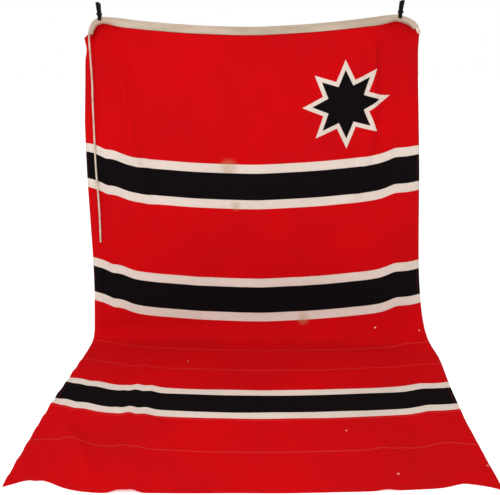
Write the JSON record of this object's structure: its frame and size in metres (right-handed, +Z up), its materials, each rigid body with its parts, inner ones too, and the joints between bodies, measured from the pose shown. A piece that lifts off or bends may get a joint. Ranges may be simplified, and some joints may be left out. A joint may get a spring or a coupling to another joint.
{
  "type": "hanging flag with spring clips",
  "caption": "Worn bunting flag hung from spring clips by its canvas heading, its lower half lying on the floor, with a rope tail.",
  "frame": {"origin": "on the floor, under the flat part of the cloth, at the flag's middle line", "axes": "+Z up, +X to the right along the heading, +Y away from the viewer, towards the hanging part"},
  "size_m": [1.5551, 1.2382, 1.5013],
  "materials": {
    "bunting": "worn printed bunting, matt",
    "canvas": "cream cotton canvas, matt",
    "rope": "laid cotton rope, matt",
    "clip_black": "moulded, satin",
    "clip_steel": "spring steel",
    "clip_pad": "matt"
  },
  "bodies": {
    "root": {"flag_cloth": "bunting", "heading": "canvas", "hoist_rope": "rope", "rope_tail": "rope", "clip_left_front_lever": "clip_black", "clip_left_back_lever": "clip_black", "clip_left_pin": "clip_steel", "clip_left_spring": "clip_steel", "clip_left_front_pad": "clip_pad", "clip_left_back_pad": "clip_pad", "clip_right_front_lever": "clip_black", "clip_right_back_lever": "clip_black", "clip_right_pin": "clip_steel", "clip_right_spring": "clip_steel", "clip_right_front_pad": "clip_pad", "clip_right_back_pad": "clip_pad"}
  },
  "joints": []
}
